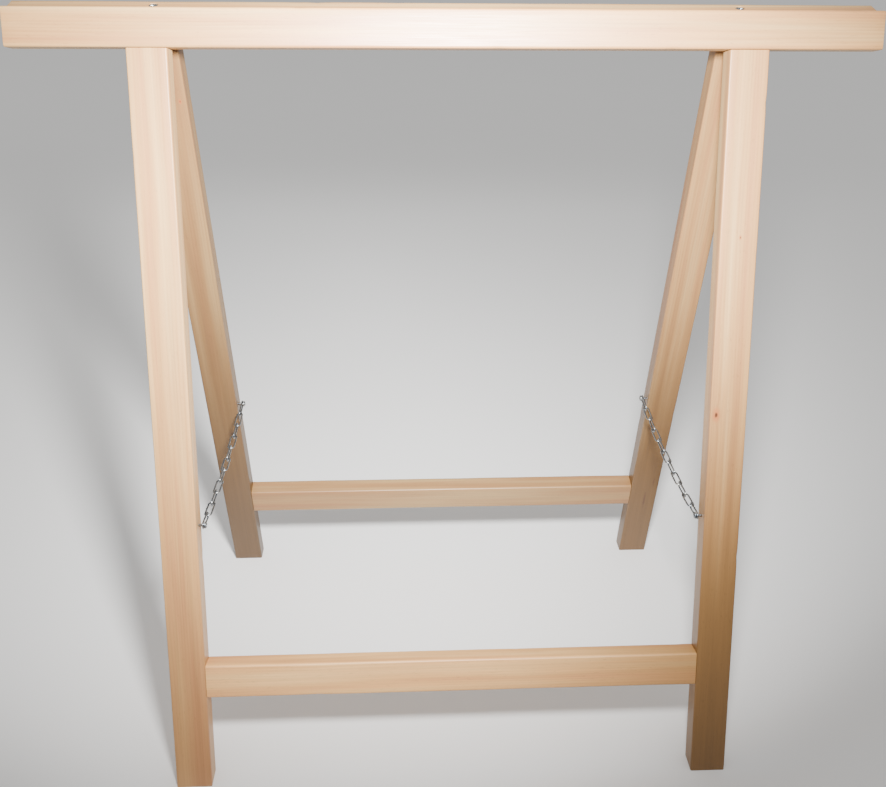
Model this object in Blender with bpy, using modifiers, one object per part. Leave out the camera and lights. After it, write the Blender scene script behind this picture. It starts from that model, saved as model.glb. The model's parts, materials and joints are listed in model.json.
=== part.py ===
"""A folding sawhorse: two wooden trestle frames hinged together at the top, held by two chains.

Each frame is a top rail screwed and dowelled onto two legs, with a cross rail tenoned between
the legs near the feet.  Two butt hinges join the inner faces of the top rails, and a steel
chain on each side stops the frames at their working angle.

X runs along the rails, the front frame leans towards -Y, the rear frame towards +Y, and the
floor is Z = 0.  Each frame is modelled upright around the hinge axis, in the axes of an empty
that lies on that axis, and the empty tilts it to the working angle.
"""

import math

import bmesh
import bpy
from mathutils import Matrix, Vector

# Working position and overall sizes (metres, radians)
HALF_ANGLE = math.radians(13.4)
SLANT_HEIGHT = 0.760
FRONT_RAIL_LENGTH = 0.780
REAR_RAIL_LENGTH = 0.792
LEG_SPACING = 0.536

# Timber
STOCK_THICKNESS = 0.0215
RAIL_HEIGHT = 0.034
LEG_WIDTH = 0.036
CROSS_RAIL_HEIGHT = 0.0355
CROSS_RAIL_ABOVE_FOOT = 0.0955
LEG_EDGE_RADIUS = 0.0014
RAIL_EDGE_RADIUS = 0.0016
CROSS_RAIL_EDGE_RADIUS = 0.0022
EDGE_SEGMENTS = 2

# Clearance kept between pieces that touch
GAP = 0.0003

# Tenons of the cross rails
TENON_LENGTH = 0.014
TENON_THICKNESS = 0.009
TENON_SHOULDER = 0.006

# Screws and dowels that hold the legs to the top rails
LEG_SCREW_HEAD_RADIUS = 0.0042
LEG_SCREW_RADIUS = 0.0022
LEG_SCREW_LENGTH = 0.080
LEG_SCREW_SINK = 0.0004
DOWEL_RADIUS = 0.004
DOWEL_LENGTH = 0.040
DOWEL_CHAMFER = 0.0008
DOWEL_COVER = 0.004

# Butt hinges
HINGE_LENGTH = 0.050
HINGE_FROM_LEG = 0.040
LEAF_HEIGHT = 0.024
LEAF_THICKNESS = 0.0012
KNUCKLE_RADIUS = 0.0026
KNUCKLE_COUNT = 5
KNUCKLE_SLIT = 0.0004
LEAF_INSET = 0.0001
PIN_RADIUS = 0.0012
PIN_HEAD_RADIUS = 0.0019
PIN_HEAD_HEIGHT = 0.0006
HINGE_AXIS_DROP = 0.003
HINGE_SCREW_HEAD_RADIUS = 0.0029
HINGE_SCREW_RADIUS = 0.0014
HINGE_SCREW_COVER = 0.007
HINGE_SCREW_SPACING = 0.032
HINGE_SCREW_FROM_EDGE = 0.0095

# Chains and the screws that hold them
LINK_COUNT = 11
LINK_WIRE_RADIUS = 0.001
LINK_INNER_WIDTH = 0.004
LINK_PLAY = 0.0004
LINK_BEND_STEPS = 6
CHAIN_SAG = 0.008
CHAIN_BELOW_TOP = 0.4825
CHAIN_SIDE_CLEARANCE = 0.0005
CHAIN_SCREW_RADIUS = 0.0014
CHAIN_SCREW_HEAD_RADIUS = 0.0034
CHAIN_SCREW_HEAD_HEIGHT = 0.0022
CHAIN_SCREW_DEPTH = 0.015

ROUND_STEPS = 20

# Sizes that follow from those above
FACE_OFFSET = KNUCKLE_RADIUS + GAP
MID_OFFSET = FACE_OFFSET + STOCK_THICKNESS / 2
RAIL_TOP = HINGE_AXIS_DROP
RAIL_BOTTOM = RAIL_TOP - RAIL_HEIGHT
LEG_CENTRE = LEG_SPACING / 2
LEG_INNER_X = LEG_CENTRE - LEG_WIDTH / 2
CROSS_RAIL_BOTTOM = RAIL_TOP - SLANT_HEIGHT + CROSS_RAIL_ABOVE_FOOT
CROSS_RAIL_TOP = CROSS_RAIL_BOTTOM + CROSS_RAIL_HEIGHT
DOWEL_FROM_CENTRE = LEG_WIDTH / 2 - DOWEL_COVER - DOWEL_RADIUS
HINGE_CENTRE = LEG_INNER_X - HINGE_FROM_LEG - HINGE_LENGTH / 2
HINGE_SCREW_LENGTH = STOCK_THICKNESS - HINGE_SCREW_COVER
CHAIN_STANDOFF = LINK_INNER_WIDTH / 2 + 2 * LINK_WIRE_RADIUS + CHAIN_SIDE_CLEARANCE
CHAIN_X = LEG_INNER_X - CHAIN_STANDOFF
CHAIN_SCREW_Z = RAIL_TOP - CHAIN_BELOW_TOP

# Height of the hinge axis, so that the feet reach the floor on their inner edge
PIVOT_HEIGHT = (SLANT_HEIGHT - RAIL_TOP) * math.cos(HALF_ANGLE) - FACE_OFFSET * math.sin(HALF_ANGLE)

TIMBER = (0.80, 0.62, 0.45)
TIMBER_DARK = (0.70, 0.52, 0.36)
BEECH_DOWEL = (0.72, 0.53, 0.35)
ZINC = (0.62, 0.63, 0.64)

SIDES = {"left": -1, "right": 1}
FRAMES = {"front": -1, "rear": 1}


def start_empty_scene():
    """Remove every object and return the collections for parts and for cutters."""
    for thing in list(bpy.data.objects):
        bpy.data.objects.remove(thing, do_unlink=True)
    parts = bpy.data.collections.new("folding_sawhorse")
    cutters = bpy.data.collections.new("cutters")
    for collection in (parts, cutters):
        bpy.context.scene.collection.children.link(collection)
    return parts, cutters


PARTS, CUTTERS = start_empty_scene()


def give_material(thing, colour, roughness, metallic=0.0):
    """Give the piece its own Principled material."""
    material = bpy.data.materials.new(thing.name)
    material.use_nodes = True
    shader = material.node_tree.nodes["Principled BSDF"]
    shader.inputs["Base Color"].default_value = (*colour, 1.0)
    shader.inputs["Roughness"].default_value = roughness
    shader.inputs["Metallic"].default_value = metallic
    thing.data.materials.append(material)


def add_object(name, data, parent, is_cutter):
    """Link a new object under its frame's empty; a cutter is shown as wire and never rendered."""
    thing = bpy.data.objects.new(name, data)
    (CUTTERS if is_cutter else PARTS).objects.link(thing)
    thing.parent = parent
    if is_cutter:
        thing.hide_render = True
        thing.display_type = "WIRE"
    return thing


def add_box(name, low, high, parent=None, is_cutter=False, eased=0.0, eased_axis="X"):
    """A box between two corners, with the edges that run along one axis rounded over."""
    low, high = Vector(low), Vector(high)
    size = Matrix.Diagonal((*(high - low), 1.0))
    place = Matrix.Translation((low + high) / 2) @ size
    shape = bmesh.new()
    bmesh.ops.create_cube(shape, size=1.0, matrix=place)
    if eased:
        axis = "XYZ".index(eased_axis)
        long_edges = [
            edge for edge in shape.edges
            if abs(edge.verts[0].co[axis] - edge.verts[1].co[axis]) > (high - low)[axis] / 2
        ]
        bmesh.ops.bevel(
            shape, geom=long_edges, offset=eased, offset_type="OFFSET",
            segments=EDGE_SEGMENTS, profile=0.5, affect="EDGES",
        )
    mesh = bpy.data.meshes.new(name)
    shape.to_mesh(mesh)
    shape.free()
    return add_object(name, mesh, parent, is_cutter)


def add_turned(name, profile, place, parent, is_cutter=False):
    """A turned piece: the profile of (radius, height) points, top first, spun about its Z."""
    mesh = bpy.data.meshes.new(name)
    points = [(radius, 0.0, height) for radius, height in profile]
    mesh.from_pydata(points, [(i, i + 1) for i in range(len(points) - 1)], [])
    thing = add_object(name, mesh, parent, is_cutter)
    thing.matrix_local = place
    spin = thing.modifiers.new("spin", "SCREW")
    spin.steps = spin.render_steps = ROUND_STEPS
    spin.use_merge_vertices = True
    spin.merge_threshold = 0.00001
    spin.use_smooth_shade = True
    return thing


def boolean(thing, other, operation="DIFFERENCE"):
    """Cut another object out of this one, or join it on."""
    step = thing.modifiers.new(operation.lower() + "_" + other.name, "BOOLEAN")
    step.operation = operation
    step.solver = "EXACT"
    step.object = other


def facing(point, direction):
    """The place of a turned piece whose top faces along the direction, at the point."""
    turn = Vector((0, 0, 1)).rotation_difference(Vector(direction))
    return Matrix.Translation(point) @ turn.to_matrix().to_4x4()


def countersunk_profile(head_radius, radius, length, grow=0.0):
    """Flat head, cone down to the shank, short point.

    grow is the clearance of its hole, whose mouth also rises a little past the head.
    """
    cone = head_radius - radius
    mouth = [(0.0, grow * 2), (head_radius + grow, grow * 2)] if grow else [(0.0, 0.0)]
    return mouth + [
        (head_radius + grow, 0.0),
        (radius + grow, -cone),
        (radius + grow, -length + radius * 2),
        (0.0, -length - grow * 2),
    ]


def pan_head_profile(grow=0.0):
    """The chain screw: domed head, bare shank that carries the link, then the part in the leg."""
    head = CHAIN_SCREW_HEAD_RADIUS
    rise = CHAIN_SCREW_HEAD_HEIGHT
    under = CHAIN_STANDOFF + LINK_WIRE_RADIUS + LINK_PLAY
    shank = CHAIN_SCREW_RADIUS
    return [
        (0.0, under + rise),
        (head * 0.6, under + rise * 0.9),
        (head, under + rise * 0.35),
        (head, under),
        (shank + grow, under),
        (shank + grow, -CHAIN_SCREW_DEPTH + shank * 2),
        (0.0, -CHAIN_SCREW_DEPTH - grow * 2),
    ]


def dowel_profile(grow=0.0):
    """A round dowel about its middle, with small chamfers at its ends."""
    radius = DOWEL_RADIUS + grow
    half = DOWEL_LENGTH / 2 + grow
    return [
        (0.0, half),
        (radius - DOWEL_CHAMFER, half),
        (radius, half - DOWEL_CHAMFER),
        (radius, -half + DOWEL_CHAMFER),
        (radius - DOWEL_CHAMFER, -half),
        (0.0, -half),
    ]


def steel_turned(name, profile_of, place, parent, cut_from):
    """A steel screw and the holes it sits in, cut a clearance larger."""
    piece = add_turned(name, profile_of(0.0), place, parent)
    give_material(piece, ZINC, 0.35, 1.0)
    hole = add_turned(name + "_hole", profile_of(GAP), place, parent, is_cutter=True)
    for timber in cut_from:
        boolean(timber, hole)
    return piece


def level_foot(leg, side):
    """Bring the lower end of a leg on to the floor, so that it is sawn level as the frame leans."""
    for vertex in leg.data.vertices:
        if vertex.co.z < RAIL_TOP - SLANT_HEIGHT / 2:
            drop = PIVOT_HEIGHT + side * vertex.co.y * math.sin(HALF_ANGLE)
            vertex.co.z = -drop / math.cos(HALF_ANGLE)


def make_timber(frame, side, tilt, rail_length):
    """The top rail, the two legs and the cross rail of one frame, with their joints cut."""
    near = min(side * FACE_OFFSET, side * (FACE_OFFSET + STOCK_THICKNESS))
    far = near + STOCK_THICKNESS
    rail = add_box(
        f"{frame}_top_rail", (-rail_length / 2, near, RAIL_BOTTOM), (rail_length / 2, far, RAIL_TOP),
        tilt, eased=RAIL_EDGE_RADIUS,
    )
    shoulder = LEG_INNER_X - GAP
    cross = add_box(
        f"{frame}_cross_rail", (-shoulder, near, CROSS_RAIL_BOTTOM), (shoulder, far, CROSS_RAIL_TOP),
        tilt, eased=CROSS_RAIL_EDGE_RADIUS,
    )
    reach = LEG_INNER_X + TENON_LENGTH
    middle = side * MID_OFFSET
    tenon_low = Vector((-reach, middle - TENON_THICKNESS / 2, CROSS_RAIL_BOTTOM + TENON_SHOULDER))
    tenon_high = Vector((reach, middle + TENON_THICKNESS / 2, CROSS_RAIL_TOP - TENON_SHOULDER))
    tenons = add_box(f"{frame}_tenons", tenon_low, tenon_high, tilt, is_cutter=True)
    boolean(cross, tenons, "UNION")
    play = Vector((GAP, GAP, GAP))
    mortises = add_box(f"{frame}_mortises", tenon_low - play, tenon_high + play, tilt, is_cutter=True)
    legs = {}
    for hand, sign in SIDES.items():
        leg = add_box(
            f"{frame}_{hand}_leg",
            (sign * LEG_CENTRE - LEG_WIDTH / 2, near, RAIL_TOP - SLANT_HEIGHT),
            (sign * LEG_CENTRE + LEG_WIDTH / 2, far, RAIL_BOTTOM - GAP),
            tilt, eased=LEG_EDGE_RADIUS, eased_axis="Z",
        )
        level_foot(leg, side)
        boolean(leg, mortises)
        legs[hand] = leg
    for timber in (rail, *legs.values()):
        give_material(timber, TIMBER, 0.55)
    give_material(cross, TIMBER_DARK, 0.55)
    return rail, legs


def join_legs(frame, side, tilt, rail, legs):
    """The screw and the dowel between the top rail and each leg."""
    def screw_profile(grow):
        return countersunk_profile(LEG_SCREW_HEAD_RADIUS, LEG_SCREW_RADIUS, LEG_SCREW_LENGTH, grow)

    for hand, sign in SIDES.items():
        head = (sign * LEG_CENTRE, side * MID_OFFSET, RAIL_TOP - LEG_SCREW_SINK)
        place = facing(head, (0, 0, 1))
        steel_turned(f"{frame}_{hand}_leg_screw", screw_profile, place, tilt, (rail, legs[hand]))
        middle = (sign * (LEG_CENTRE - DOWEL_FROM_CENTRE), side * MID_OFFSET, RAIL_BOTTOM)
        place = facing(middle, (0, 0, 1))
        dowel = add_turned(f"{frame}_{hand}_dowel", dowel_profile(), place, tilt)
        give_material(dowel, BEECH_DOWEL, 0.6)
        hole_name = f"{frame}_{hand}_dowel_hole"
        hole = add_turned(hole_name, dowel_profile(GAP), place, tilt, is_cutter=True)
        boolean(rail, hole)
        boolean(legs[hand], hole)


def knuckle_spans(frame):
    """Where this frame's knuckles start and end along the hinge, and where the other's are."""
    step = HINGE_LENGTH / KNUCKLE_COUNT
    edges = [i * step - HINGE_LENGTH / 2 for i in range(KNUCKLE_COUNT + 1)]
    spans = list(zip(edges, edges[1:]))
    first = 0 if frame == "front" else 1
    return spans[first::2], spans[1 - first::2]


def make_hinge_leaf(frame, side, hand, sign, tilt, rail):
    """A plate against the rail's inner face, rolled into knuckles round the pin, and its screws."""
    centre = sign * HINGE_CENTRE
    back = KNUCKLE_RADIUS - LEAF_INSET
    inner = back - LEAF_THICKNESS
    near, far = sorted((side * inner, side * back))
    name = f"{hand}_hinge_{frame}_leaf"
    low = (centre - HINGE_LENGTH / 2, near, -LEAF_HEIGHT)
    high = (centre + HINGE_LENGTH / 2, far, -LEAF_INSET)
    leaf = add_box(name, low, high, tilt)
    own, other = knuckle_spans(frame)
    along_x = Matrix.Rotation(math.radians(90), 4, "Y")
    for number, (start, end) in enumerate(own):
        half = (end - start - KNUCKLE_SLIT) / 2
        place = Matrix.Translation((centre + (start + end) / 2, 0, 0)) @ along_x
        roll = [(0.0, half), (KNUCKLE_RADIUS, half), (KNUCKLE_RADIUS, -half), (0.0, -half)]
        boolean(leaf, add_turned(f"{name}_roll_{number}", roll, place, tilt, is_cutter=True), "UNION")
    room = KNUCKLE_RADIUS + GAP
    for number, (start, end) in enumerate(other):
        low = (centre + start, -room * 2, -room)
        high = (centre + end, room * 2, room)
        boolean(leaf, add_box(f"{name}_slot_{number}", low, high, tilt, is_cutter=True))
    bored = PIN_RADIUS + GAP
    bore = [(0.0, HINGE_LENGTH), (bored, HINGE_LENGTH), (bored, -HINGE_LENGTH), (0.0, -HINGE_LENGTH)]
    half_step = Matrix.Rotation(math.pi / ROUND_STEPS, 4, "Z")
    place = Matrix.Translation((centre, 0, 0)) @ along_x @ half_step
    boolean(leaf, add_turned(f"{name}_bore", bore, place, tilt, is_cutter=True))
    give_material(leaf, ZINC, 0.4, 1.0)

    def screw_profile(grow):
        return countersunk_profile(HINGE_SCREW_HEAD_RADIUS, HINGE_SCREW_RADIUS, HINGE_SCREW_LENGTH, grow)

    for number, shift in ((1, -HINGE_SCREW_SPACING / 2), (2, HINGE_SCREW_SPACING / 2)):
        head = (centre + shift, side * inner, -LEAF_HEIGHT + HINGE_SCREW_FROM_EDGE)
        place = facing(head, (0, -side, 0))
        steel_turned(f"{hand}_hinge_{frame}_screw_{number}", screw_profile, place, tilt, (leaf, rail))


def make_hinge_pin(hand, sign, tilt):
    """The pin through the knuckles, peened over at both ends."""
    half = HINGE_LENGTH / 2
    top = half + PIN_HEAD_HEIGHT
    profile = [
        (0.0, top), (PIN_RADIUS, top), (PIN_HEAD_RADIUS, half + GAP), (PIN_RADIUS, half),
        (PIN_RADIUS, -half), (PIN_HEAD_RADIUS, -half - GAP), (PIN_RADIUS, -top), (0.0, -top),
    ]
    place = Matrix.Translation((sign * HINGE_CENTRE, 0, 0)) @ Matrix.Rotation(math.radians(90), 4, "Y")
    pin = add_turned(f"{hand}_hinge_pin", profile, place, tilt)
    give_material(pin, ZINC, 0.3, 1.0)


def make_chain_screw(frame, side, hand, sign, tilt, leg):
    """The screw in the leg's inner side that an end link of the chain hangs on."""
    point = (sign * LEG_INNER_X, side * MID_OFFSET, CHAIN_SCREW_Z)
    place = facing(point, (-sign, 0, 0))
    steel_turned(f"{frame}_{hand}_chain_screw", pan_head_profile, place, tilt, (leg,))


def chain_curve():
    """The hanging line between the chain screws: a parabola y -> z, its length and a walker.

    The walker gives the point and the slope angle at a distance along the line from the
    front screw.
    """
    rise = CHAIN_SCREW_Z * math.cos(HALF_ANGLE) + MID_OFFSET * math.sin(HALF_ANGLE)
    half_span = -CHAIN_SCREW_Z * math.sin(HALF_ANGLE) + MID_OFFSET * math.cos(HALF_ANGLE)
    steps = 400
    rows = []
    travelled = 0.0
    for i in range(steps + 1):
        y = half_span * (2 * i / steps - 1)
        z = PIVOT_HEIGHT + rise - CHAIN_SAG * (1 - (y / half_span) ** 2)
        if rows:
            travelled += math.hypot(y - rows[-1][1], z - rows[-1][2])
        rows.append((travelled, y, z))

    def walk(distance):
        before = max(row for row in rows[:-1] if row[0] <= distance)
        after = rows[rows.index(before) + 1]
        share = (distance - before[0]) / (after[0] - before[0])
        y = before[1] + share * (after[1] - before[1])
        z = before[2] + share * (after[2] - before[2])
        return y, z, math.atan2(after[2] - before[2], after[1] - before[1])

    return travelled, walk


def link_outline(inner_length):
    """The middle line of one link: two straight sides and two half circles, in its XY plane."""
    bend = LINK_INNER_WIDTH / 2 + LINK_WIRE_RADIUS
    straight = inner_length / 2 + LINK_WIRE_RADIUS - bend
    points = []
    for end in (1, -1):
        for i in range(LINK_BEND_STEPS + 1):
            angle = math.pi * i / LINK_BEND_STEPS - math.pi / 2
            points.append((end * (straight + bend * math.cos(angle)), end * bend * math.sin(angle), 0.0))
    return points


def make_chain(hand, sign):
    """Eleven long links from the front leg to the rear leg, every second one turned flat."""
    length, walk = chain_curve()
    spare = (LINK_COUNT - 1) * LINK_PLAY + 2 * (CHAIN_SCREW_RADIUS + LINK_PLAY)
    inner_length = (length + spare) / LINK_COUNT
    outline = link_outline(inner_length)
    for number in range(LINK_COUNT):
        distance = inner_length / 2 - CHAIN_SCREW_RADIUS - LINK_PLAY + number * (inner_length - LINK_PLAY)
        y, z, slope = walk(distance)
        name = f"{hand}_chain_link_{number + 1:02d}"
        curve = bpy.data.curves.new(name, "CURVE")
        curve.dimensions = "3D"
        curve.bevel_depth = LINK_WIRE_RADIUS
        curve.bevel_resolution = 1
        spline = curve.splines.new("POLY")
        spline.points.add(len(outline) - 1)
        for point, place in zip(spline.points, outline):
            point.co = (*place, 1.0)
        spline.use_cyclic_u = True
        link = add_object(name, curve, None, is_cutter=False)
        on_edge = Matrix.Rotation(math.radians(90), 4, "X") if number % 2 == 0 else Matrix.Identity(4)
        along_y = Matrix.Rotation(math.radians(90), 4, "Z")
        incline = Matrix.Rotation(slope, 4, "X")
        link.matrix_world = Matrix.Translation((sign * CHAIN_X, y, z)) @ incline @ along_y @ on_edge
        give_material(link, ZINC, 0.35, 1.0)


def main():
    """Build both frames on their tilted empties, then the hinges and the chains."""
    for frame, side in FRAMES.items():
        tilt = bpy.data.objects.new(f"{frame}_frame_axis", None)
        PARTS.objects.link(tilt)
        tilt.location = (0, 0, PIVOT_HEIGHT)
        tilt.rotation_euler = (side * HALF_ANGLE, 0, 0)
        rail_length = FRONT_RAIL_LENGTH if frame == "front" else REAR_RAIL_LENGTH
        rail, legs = make_timber(frame, side, tilt, rail_length)
        join_legs(frame, side, tilt, rail, legs)
        for hand, sign in SIDES.items():
            make_hinge_leaf(frame, side, hand, sign, tilt, rail)
            make_chain_screw(frame, side, hand, sign, tilt, legs[hand])
            if frame == "front":
                make_hinge_pin(hand, sign, tilt)
    for hand, sign in SIDES.items():
        make_chain(hand, sign)


main()
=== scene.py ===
"""Looks of a folding wooden sawhorse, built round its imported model.

Eight planed boards, the dowels and every steel screw and chain link are surfaces worked out
with numpy.  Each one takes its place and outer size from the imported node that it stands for.
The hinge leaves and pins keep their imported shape.  Lengths are metres, the floor is Z = 0, X
runs along the rails and the front frame leans towards -Y.

Two kinds of coordinates are used below.  "Upright" coordinates are those of one frame stood
up straight round the hinge axis.  A board's own coordinates are (along the grain, through the
thickness, across the width).  Boards' patterns are placed from the hinge axis: on a leg,
"along" is up and "across" is towards -X, and on a rail "along" is towards +X.
"""

import json
import math
from itertools import product

import bpy
import numpy as np
from bpy.props import FloatProperty, FloatVectorProperty, IntProperty, PointerProperty, StringProperty
from mathutils import Matrix, Vector


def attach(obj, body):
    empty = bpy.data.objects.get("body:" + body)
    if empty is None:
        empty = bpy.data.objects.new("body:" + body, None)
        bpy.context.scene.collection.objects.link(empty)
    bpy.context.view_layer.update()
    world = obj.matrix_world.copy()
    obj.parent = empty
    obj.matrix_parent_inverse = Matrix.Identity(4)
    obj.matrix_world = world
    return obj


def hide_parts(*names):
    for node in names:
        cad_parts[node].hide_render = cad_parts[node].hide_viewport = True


bl_info = {
    "name": "Folding sawhorse",
    "version": (1, 0, 0),
    "blender": (4, 5, 0),
    "location": "View3D > Sidebar > Sawhorse",
    "description": "Builds the finished boards, chains, screws and hinges of a folding wooden sawhorse",
    "category": "Object",
}

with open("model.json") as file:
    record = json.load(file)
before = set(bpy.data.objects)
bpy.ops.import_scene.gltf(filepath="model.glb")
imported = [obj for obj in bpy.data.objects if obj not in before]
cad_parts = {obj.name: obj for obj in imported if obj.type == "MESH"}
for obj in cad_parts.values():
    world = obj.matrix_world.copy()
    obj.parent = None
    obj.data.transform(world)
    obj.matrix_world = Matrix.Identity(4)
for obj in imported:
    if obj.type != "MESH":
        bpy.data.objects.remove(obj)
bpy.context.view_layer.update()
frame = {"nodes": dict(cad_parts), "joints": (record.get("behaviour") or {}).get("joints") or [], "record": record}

FOLD = next(joint for joint in frame["joints"] if joint["name"] == "fold")
HINGE = np.array(FOLD["pos_m"])
LEAN = math.radians(FOLD["range_deg"][1]) / 2
FRAMES = {"front": -1, "rear": 1}
HANDS = {"left": -1, "right": 1}
MM = 0.001

# Unevenness of the boards: the share of itself by which an arris swells and shrinks, the pace
# of that and of the hollow in radians per metre, and the dents' radii and depths (millimetres)
ARRIS_SWAY = 0.16
ARRIS_PACE = 21.0
HOLLOW_PACE = 9.0
DENT_RADIUS = (1.2, 4.0)
DENT_DEPTH = (0.15, 0.45)

# Threads, as shares of the shank's radius: core, height, and the pitches of the two kinds of
# screw.  Each turn is drawn with six rings.
THREAD_CORE = 0.7
THREAD_HEIGHT = 0.3
WOOD_PITCH = 0.9
PAN_PITCH = 0.8
THREAD_RINGS = 6

# Dowels, points round a hole and round a dowel, and the blunt radius at a hole's deep end
DOWEL_CHAMFER = 0.8 * MM
FLUTE_DEPTH = 0.35 * MM
DOWEL_STEPS = 96
HOLE_STEPS = 24
HOLE_TIP = 0.1 * MM


# What sets one board apart from the next.  tone is its overall lightness, which is painted shade on the rear
# boards and painted light on the front cross rail, for how the lamp by the camera reaches them.  heart is the
# stretch (start, end, strength) over which it turns brown, painted shade that darkens the legs towards their feet
# and the front cross rail towards its right end.  knots are (along, across, radius) and streaks (along, across,
# length, width, strength), from the hinge axis; the streaks are thin dark marks of the chain's painted shadow on
# the rear right leg.
PLAIN_BOARD = {"tone": 1.0, "falloff_shade": (0.0, 1.0, 0.0), "knots": (), "chain_shadow_marks": ()}
BOARDS = {
    # front legs: the browning towards the feet is painted shade, strongest on the right leg
    "front_left_leg": {"tone": 1.05, "falloff_shade": (-0.35, -0.85, 0.22)},
    "front_right_leg": {
        "falloff_shade": (-0.24, -0.62, 1.0),
        "knots": ((-0.372, -0.2557, 0.0017), (-0.2, -0.2693, 0.0006)),
    },
    # rear legs: the low lightness and the browning towards the feet are painted shade
    "rear_left_leg": {
        "tone": 0.47, "falloff_shade": (-0.10, -0.70, 1.0),
        "knots": ((-0.0845, 0.2561, 0.0006),),
    },
    "rear_right_leg": {
        "tone": 0.66, "falloff_shade": (-0.25, -0.60, 1.0),
        # painted shadow of the chain on this leg
        "chain_shadow_marks": ((-0.6535, -0.2707, 0.026, 0.0022, 0.75), (-0.6187, -0.2785, 0.016, 0.0018, 0.6)),
    },
    # front cross rail: its high lightness is painted light, its browning towards the right end painted shade
    "front_cross_rail": {"tone": 1.45, "falloff_shade": (0.02, 0.30, 0.70)},
    # rear cross rail: its low lightness is painted shade
    "rear_cross_rail": {"tone": 0.59},
    "front_top_rail": {"tone": 1.04},
}


# ---------------------------------------------------------------------------
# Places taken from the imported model
# ---------------------------------------------------------------------------

def lean_matrix(side):
    """Turn of a frame about X, from upright to its working angle."""
    return np.array(Matrix.Rotation(side * LEAN, 3, "X"))


def to_upright(points, side):
    """Points of the model, in the coordinates of one frame stood up straight."""
    return (points - HINGE) @ lean_matrix(side)


def to_model(points, side):
    """The way back from upright coordinates to the model's."""
    return points @ lean_matrix(side).T + HINGE


def node_points(name):
    """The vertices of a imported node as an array."""
    mesh = frame["nodes"][name].data
    flat = np.empty(len(mesh.vertices) * 3)
    mesh.vertices.foreach_get("co", flat)
    return flat.reshape(-1, 3)


def upright_box(name, side):
    """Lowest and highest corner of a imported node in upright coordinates."""
    points = to_upright(node_points(name), side)
    return points.min(0), points.max(0)


# ---------------------------------------------------------------------------
# Surfaces
# ---------------------------------------------------------------------------

def smooth_step(value):
    """0 below 0, 1 above 1, and 3v^2 - 2v^3 between."""
    value = np.clip(value, 0.0, 1.0)
    return value * value * (3 - 2 * value)


def wander(along, seed, pace):
    """Three sines of unlike wavelength added up, between -1 and 1, that differ for each seed."""
    total = 0.0
    for order, share in enumerate((0.5, 0.3, 0.2)):
        total = total + share * np.sin(along * pace * (1 + 1.618 * order) + seed * (2.4 + order))
    return total


def rounded_section(half_thick, half_wide, arris, arc_steps, flat_steps):
    """Sections of a board at each station: a rectangle whose corners are quarter circles.

    A corner point is sign * (half - r) + r * (cos a, sin a); the points of a flat side lie
    evenly between the two corners that it joins.
    """
    turn = np.linspace(0.0, math.pi / 2, arc_steps + 1)
    share = np.linspace(0.0, 1.0, flat_steps + 1)[1:-1]
    corners = []
    for quarter, (sign_t, sign_w) in enumerate(((1, 1), (-1, 1), (-1, -1), (1, -1))):
        angle = turn + quarter * math.pi / 2
        thick = sign_t * (half_thick - arris)[:, None] + arris[:, None] * np.cos(angle)
        wide = sign_w * (half_wide - arris)[:, None] + arris[:, None] * np.sin(angle)
        corners.append(np.stack((thick, wide), axis=-1))
    pieces = []
    for corner, following in zip(corners, corners[1:] + corners[:1]):
        start, end = corner[:, -1:, :], following[:, :1, :]
        pieces += [corner, start + (end - start) * share[None, :, None]]
    return np.concatenate(pieces, axis=1)


def skin(name, rings, along=False):
    """A mesh over rings of points: quads between them, and a fan to the middle of each end.

    rings has the shape (stations, points, 3), and every ring is closed on itself.  along joins
    the last ring to the first, as on a chain link, which then has no ends.
    """
    stations, count = rings.shape[:2]
    index = np.arange(stations * count).reshape(stations, count)
    if along:
        index = np.vstack((index, index[:1]))
    index = np.hstack((index, index[:, :1]))
    quads = np.stack((index[:-1, :-1], index[:-1, 1:], index[1:, 1:], index[1:, :-1]), axis=-1)
    faces = quads.reshape(-1, 4).tolist()
    points = rings.reshape(-1, 3)
    if not along:
        middles = np.stack((rings[0].mean(0), rings[-1].mean(0)))
        first, last = len(points), len(points) + 1
        points = np.vstack((points, middles))
        fan_first = np.stack((np.full(count, first), index[0, 1:], index[0, :-1]), axis=-1)
        fan_last = np.stack((np.full(count, last), index[-1, :-1], index[-1, 1:]), axis=-1)
        faces += fan_first.tolist() + fan_last.tolist()
    mesh = bpy.data.meshes.new(name)
    mesh.from_pydata(points.tolist(), [], faces)
    mesh.update()
    if signed_volume(mesh) < 0:
        mesh.flip_normals()
    return mesh


def signed_volume(mesh):
    """Six times the volume inside a closed mesh: the sum of the triple products of its triangles."""
    mesh.calc_loop_triangles()
    points = np.empty(len(mesh.vertices) * 3)
    mesh.vertices.foreach_get("co", points)
    corners = np.empty(len(mesh.loop_triangles) * 3, dtype=np.int32)
    mesh.loop_triangles.foreach_get("vertices", corners)
    a, b, c = (points.reshape(-1, 3)[corners.reshape(-1, 3)[:, i]] for i in range(3))
    return float(np.einsum("ij,ij->i", a, np.cross(b, c)).sum())


def put_in_scene(name, data):
    """A new object in the scene for a mesh, a light or a camera."""
    thing = bpy.data.objects.new(name, data)
    bpy.context.scene.collection.objects.link(thing)
    return thing


def finish_piece(name, mesh, body, material, replaced, sharp_angle=35.0):
    """Put a mesh into the scene, shade it, and let it ride on its body in place of its node."""
    mesh.shade_smooth()
    mesh.set_sharp_from_angle(angle=math.radians(sharp_angle))
    mesh.materials.clear()
    mesh.materials.append(material)
    piece = put_in_scene(name, mesh)
    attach(piece, body)
    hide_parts(replaced)


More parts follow.
